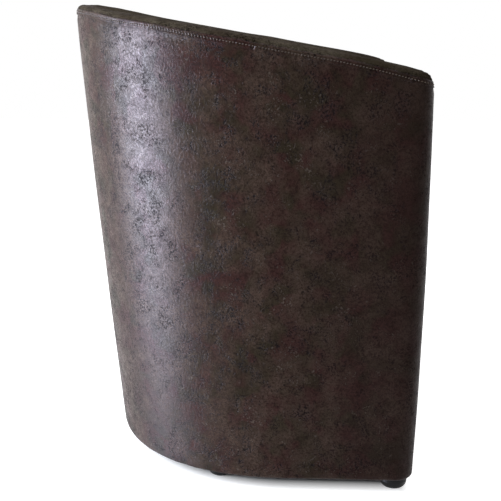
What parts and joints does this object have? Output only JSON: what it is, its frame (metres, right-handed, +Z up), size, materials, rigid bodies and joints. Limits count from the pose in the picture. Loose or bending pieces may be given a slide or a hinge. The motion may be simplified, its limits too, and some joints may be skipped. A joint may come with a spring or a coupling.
{
  "type": "tub chair",
  "caption": "Upholstered tub chair: a U-shaped shell with a rim that slopes down to the arm fronts, a fixed crowned seat and low round feet.",
  "frame": {"origin": "centre of the bounding box at floor level, under the feet", "axes": "+Z up from the floor, -Y towards the front of the seat, +X towards the sitter's left arm"},
  "size_m": [0.6646, 0.5558, 0.7403],
  "materials": {
    "cover": "distressed brown faux suede, satin sheen",
    "wadding": "white polyester wadding",
    "foam": "cream polyurethane foam",
    "hardboard": "brown bent hardboard",
    "plywood": "bare plywood",
    "timber": "bare planed timber",
    "spring_steel": "oiled spring steel",
    "zinc_steel": "zinc plated",
    "felt": "grey needled felt",
    "nonwoven": "black non-woven cloth",
    "foot_plastic": "black moulded plastic, satin"
  },
  "bodies": {
    "root": {"outer_cover": "cover", "inner_cover": "cover", "rim_band": "cover", "front_cover": "cover", "seat_cover": "cover", "outer_wadding": "wadding", "rim_foam": "foam", "inner_foam": "foam", "seat_foam": "foam", "arm_front_pad_left": "foam", "arm_front_pad_right": "foam", "outer_board": "hardboard", "inner_board": "hardboard", "front_board": "hardboard", "base_hoop": "plywood", "rim_hoop": "plywood", "arm_panel_left": "plywood", "arm_panel_right": "plywood", "post_back": "timber", "base_front_rail": "timber", "seat_front_rail": "timber", "seat_back_rail": "timber", "post_rear_left": "timber", "post_quarter_left": "timber", "post_side_left": "timber", "seat_side_rail_left": "timber", "post_rear_right": "timber", "post_quarter_right": "timber", "post_side_right": "timber", "seat_side_rail_right": "timber", "seat_spring_1": "spring_steel", "spring_clip_front_1": "zinc_steel", "spring_clip_back_1": "zinc_steel", "seat_spring_2": "spring_steel", "spring_clip_front_2": "zinc_steel", "spring_clip_back_2": "zinc_steel", "seat_spring_3": "spring_steel", "spring_clip_front_3": "zinc_steel", "spring_clip_back_3": "zinc_steel", "seat_spring_4": "spring_steel", "spring_clip_front_4": "zinc_steel", "spring_clip_back_4": "zinc_steel", "seat_spring_5": "spring_steel", "spring_clip_front_5": "zinc_steel", "spring_clip_back_5": "zinc_steel", "spring_pad": "felt", "bottom_cover": "nonwoven", "foot_front_left": "foot_plastic", "foot_screw_front_left": "zinc_steel", "foot_front_right": "foot_plastic", "foot_screw_front_right": "zinc_steel", "foot_side_left": "foot_plastic", "foot_screw_side_left": "zinc_steel", "foot_side_right": "foot_plastic", "foot_screw_side_right": "zinc_steel", "foot_back": "foot_plastic", "foot_screw_back": "zinc_steel"}
  },
  "joints": []
}
